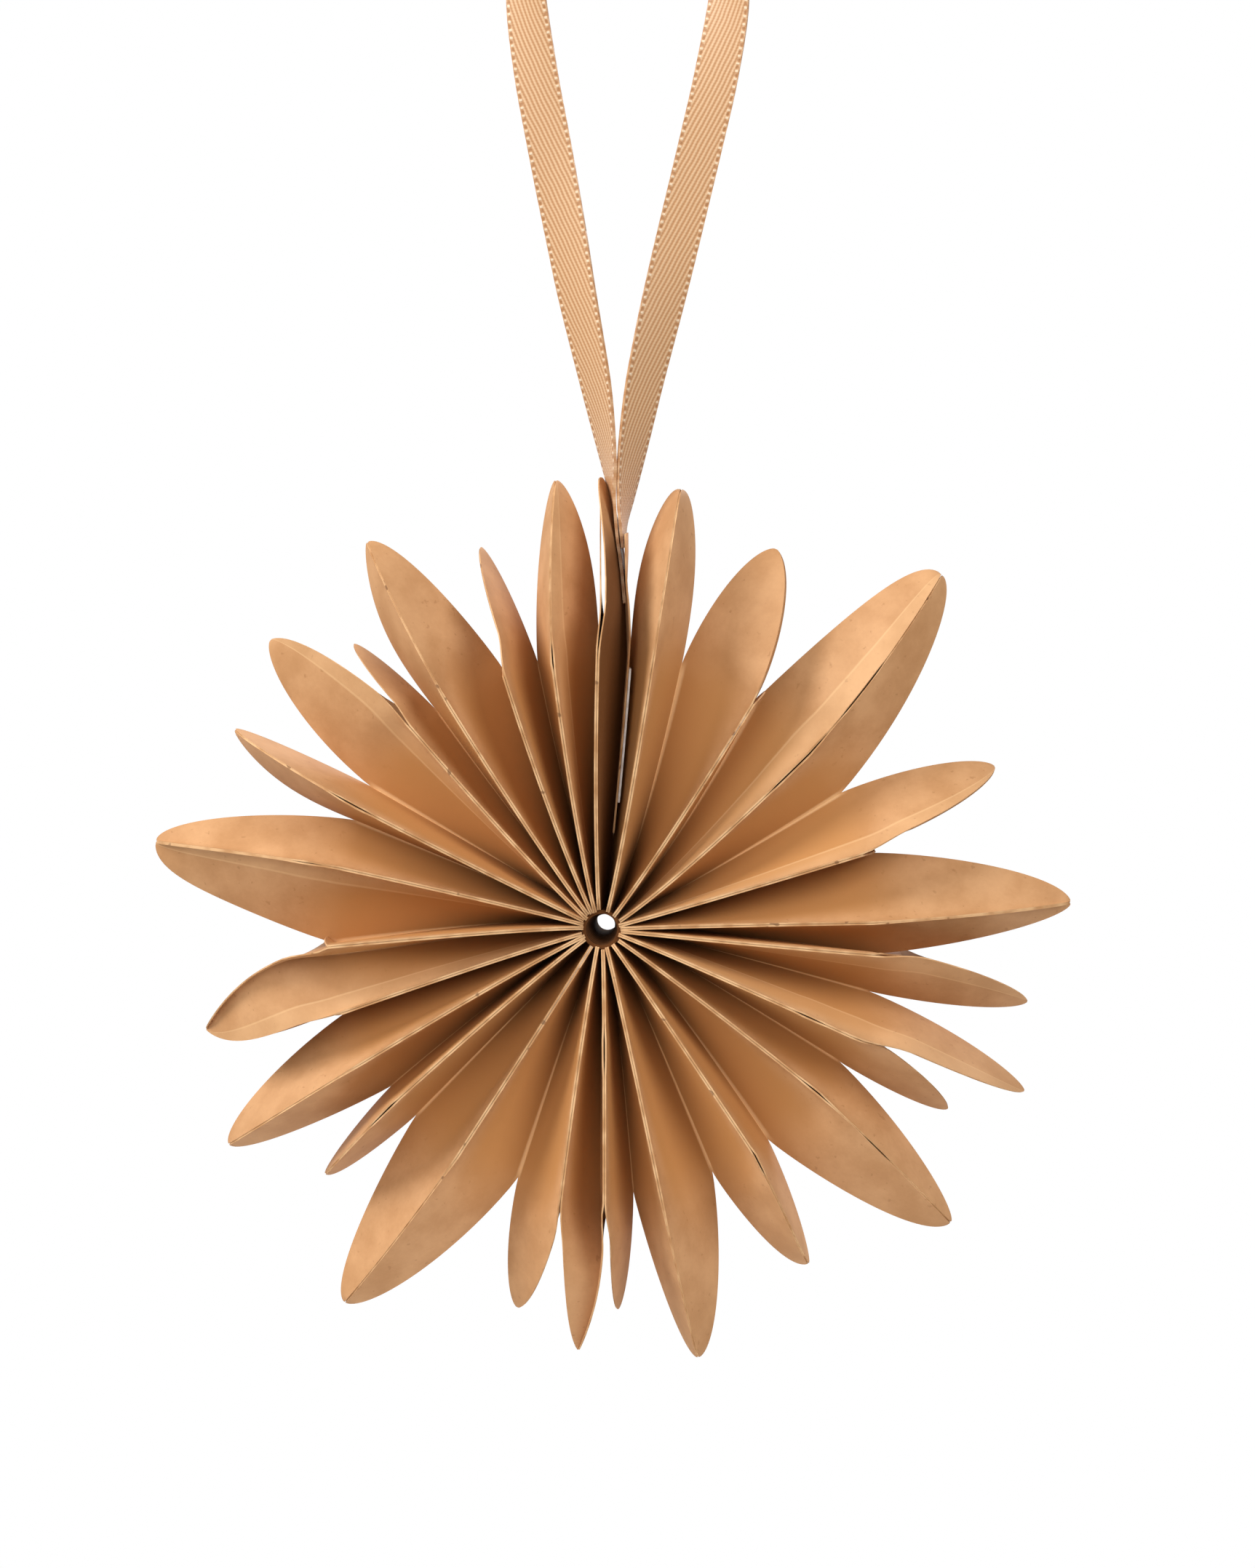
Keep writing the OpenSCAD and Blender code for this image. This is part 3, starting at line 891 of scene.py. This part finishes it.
white_tape = tape_finish()
print(white_tape.name, "has", len(white_tape.node_tree.nodes), "nodes")

# %% [markdown]
# ## Tab and tape
# Both strips ride on the last pocket. One function makes either, because they differ only in where
# they lie, how thick they are and what they are made of.

# %% Tab and tape
TAPE_T = 0.32
TAPE_OUT = CARD_T / 2 + TAPE_T / 2 + 0.05  # from the middle of the tab to the middle of the tape
TAPE_ALONG = (0.12, 0.64)
TAPE_ACROSS = (0.45, 1.03)
STRIP_FACES = (50, 8)


def seam_strip(name, along, across, away, thickness, materials):
    """A strip over a part of the tab, which along and across give."""
    shape = bmesh.new()
    bmesh.ops.create_grid(shape, x_segments=STRIP_FACES[0], y_segments=STRIP_FACES[1], size=1)
    for vert in shape.verts:
        t = mix(*along, (vert.co.x + 1) / 2)
        w = mix(*across, (vert.co.y + 1) / 2)
        vert.co = tab_point(t, w, away)
    sharp_rim(shape)
    piece = link(name, made_mesh(shape, name), materials)
    thicken(piece, thickness * MM, len(materials) - 1)
    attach(piece, "pocket_24")
    axis = fold_axis(POCKETS[-1][0])
    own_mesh(piece)
    return piece


tab = seam_strip("seam_tab", (0, 1), (0, 1), 0, CARD_T, (kraft_card, cut_edge))
tape = seam_strip("seam_tape", TAPE_ALONG, TAPE_ACROSS, TAPE_OUT, TAPE_T, (white_tape,))
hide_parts("closure_tab")
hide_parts("closure_tape")
print("seam closed with", tab.name, "and", tape.name)

# %% [markdown]
# ## Hub
# The inner ends of the cards meet a narrow band of paper round the hole. The solid already has its
# shape, a tube that narrows from a wider mouth, and only its inside shows, in shade. So the solid stays,
# and gets a card finish in a dark brown of painted shade, with faint rings where the paper was wound.

# %% Hub band
# Painted shade of the hole: the band's brown, darkened
HUB_SHADE_DARK = srgb(58, 32, 14)
HUB_SHADE_LIGHT = srgb(104, 64, 32)
RING_PITCH = 1.1 * MM


def hub_finish():
    finish = new_finish("hub_band_painted_shade")
    place = own_place(finish)
    rough = noise(finish, place, 900, 4.0)
    depth = finish.node("SeparateXYZ", None, {0: place}, 1)
    rings = (depth * (2 * math.pi / RING_PITCH) + rough * 4).wave() * 0.5 + 0.5
    tone = finish.mix(rings * 0.6 + rough * 0.4, HUB_SHADE_DARK, HUB_SHADE_LIGHT)
    return finish.surface({"Base Color": tone, "Roughness": 0.9, "Specular IOR Level": 0.1})


hub_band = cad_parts["spine_band"]
hub_band.data.materials.clear()
hub_band.data.materials.append(hub_finish())
print(hub_band.name, "finished as", hub_band.data.materials[0].name)

# %% [markdown]
# ## Ribbon finish
# Satin ribbon is woven from fine silky threads. Long floats run slantwise along it, and each edge has a
# row of tiny loops where the weft turns back. Waves along and across the ribbon give these lines, and a
# little noise keeps them from looking ruled. The pattern follows the ribbon's own map, because it has
# to turn with it.

# %% Ribbon finish
RIBBON_GROUND = srgb(172, 119, 71)
RIBBON_FLOAT = srgb(216, 178, 137)
RIBBON_BORDER = srgb(176, 122, 74)
RIBBON_DOT = srgb(152, 100, 55)
RIBBON_LOOP = srgb(224, 198, 166)
# How fast threads follow each other, by the millimetre: the floats across and along, the ribs, the loops
FLOAT_TURN, FLOAT_SLANT, RIB_TURN, BEAT_TURN = 8.6, 2.4, 14, 5
LOOP_ROW = 0.055  # from the edge, as a share of the width


def ribbon_finish():
    finish = new_finish("satin_ribbon")
    chart = finish.node("UVMap", {"uv_map": "ribbon"})
    split = finish.node("SeparateXYZ", None, {0: chart})
    down = split * MAP_LENGTH
    over = split.beside(1)
    loose = noise(finish, own_place(finish), 260, 2.0) * 1.4
    slant = over * (RIBBON_WIDTH / MM) * FLOAT_TURN + down * FLOAT_SLANT
    float_lines = ((slant + loose * 2).wave() + 1) * 0.5
    ribs = ((down * RIB_TURN + loose * 2).wave() + 1) * 0.5
    weave = float_lines * 0.85 + ribs * 0.15

    from_edge = 0.5 - (over - 0.5).size()
    border = 1 - from_edge.step(0.05, 0.1)
    row = 1 - (from_edge - LOOP_ROW).size().step(0.02, 0.05)
    beat = (down * BEAT_TURN + loose).wave()
    dots = (1 - beat.step(-0.7, 0)) * row
    loops = beat.step(0.3, 0.9) * row

    tone = finish.mix(weave, RIBBON_GROUND, RIBBON_FLOAT)
    tone = finish.mix(border * 0.4, tone, RIBBON_BORDER)
    tone = finish.mix(dots * 0.7, tone, RIBBON_DOT)
    tone = finish.mix(loops, tone, RIBBON_LOOP)
    height = weave + loops * 1.5
    bump = finish.node("Bump", None, {"Height": height, "Strength": 0.35, "Distance": 0.12 * MM})
    return finish.surface({"Base Color": tone, "Roughness": 0.5 - weave * 0.12, "Normal": bump})


satin_ribbon = ribbon_finish()
for piece in (ribbon_top, left_strand, right_strand):
    piece.data.materials.append(satin_ribbon)
print(satin_ribbon.name, "has", len(satin_ribbon.node_tree.nodes), "nodes")

# %% [markdown]
# ## Lamps
# The picture has soft studio light, brighter from the left, and the petals at the right are still well
# lit. A large lamp stands at the upper left, a weaker one at the right, and a soft one in front
# lightens the folds. The lamp at the rear is for the views from behind. A sun would be simpler, but its
# shadows are too hard.

# %% Lamps
# Place, diameter and power
LAMPS = {
    "key_light": ((-0.91, -0.4, 0.76), 0.7, 15.0),
    "fill_light": ((0.73, -0.8, 0.62), 0.7, 9.0),
    "front_light": ((-0.45, -1.1, 0.4), 0.9, 5.0),
    "rear_light": ((0.5, 1.2, 0.7), 0.9, 9.0),
}


def lamp(name, place, size, power):
    """A round area lamp that shines at the hub."""
    light = bpy.data.lights.new(name, "AREA")
    light.shape = "DISK"
    light.size = size
    light.energy = power
    made = bpy.data.objects.new(name, light)
    bpy.context.scene.collection.objects.link(made)
    made.location = place
    made.rotation_mode = "QUATERNION"
    made.rotation_quaternion = (-Vector(place)).to_track_quat("-Z", "Y")


for name, setting in LAMPS.items():
    lamp(name, *setting)
bpy.context.scene.view_settings.view_transform = "Standard"
print(len(LAMPS), "lamps")

# %% [markdown]
# ## White surround and floor
# The object stands on plain white. A bright world would wash the card out, so the world is white only
# to the camera and in reflections, and fills the shadows with much less. The floor is a pale disc well
# below the ornament, where it takes the shadow.

# %% White surround and floor
AMBIENT = 0.23
WHITE = (1, 1, 1, 1)
FLOOR_TONE = (0.85, 0.85, 0.85, 1)
FLOOR_RADIUS = 0.35
FLOOR_HEIGHT = -0.26

surround = Finish(bpy.data.worlds.new("white_surround"))
camera_ray = surround.node("LightPath", None, None, "Is Camera Ray")
shown = camera_ray
for ray in ("Is Glossy Ray", "Is Transmission Ray"):
    shown = shown.math("MAXIMUM", camera_ray.beside(ray))
fills = surround.node("Background", None, {"Color": WHITE, "Strength": AMBIENT})
white = surround.node("Background", None, {"Color": WHITE, "Strength": 1})
sky = surround.node("MixShader", None, {0: shown, 1: fills, 2: white})
surround.node("OutputWorld", None, {"Surface": sky})
bpy.context.scene.world = surround.owner

shape = bmesh.new()
bmesh.ops.create_circle(shape, cap_ends=True, segments=96, radius=FLOOR_RADIUS)
bmesh.ops.translate(shape, verts=shape.verts, vec=(0, 0, FLOOR_HEIGHT))
pale_floor = new_finish("pale_floor").surface({"Base Color": FLOOR_TONE, "Roughness": 0.9})
floor = link("floor", made_mesh(shape, "floor"), (pale_floor,))
print("floor", -FLOOR_HEIGHT, "m below the hub")
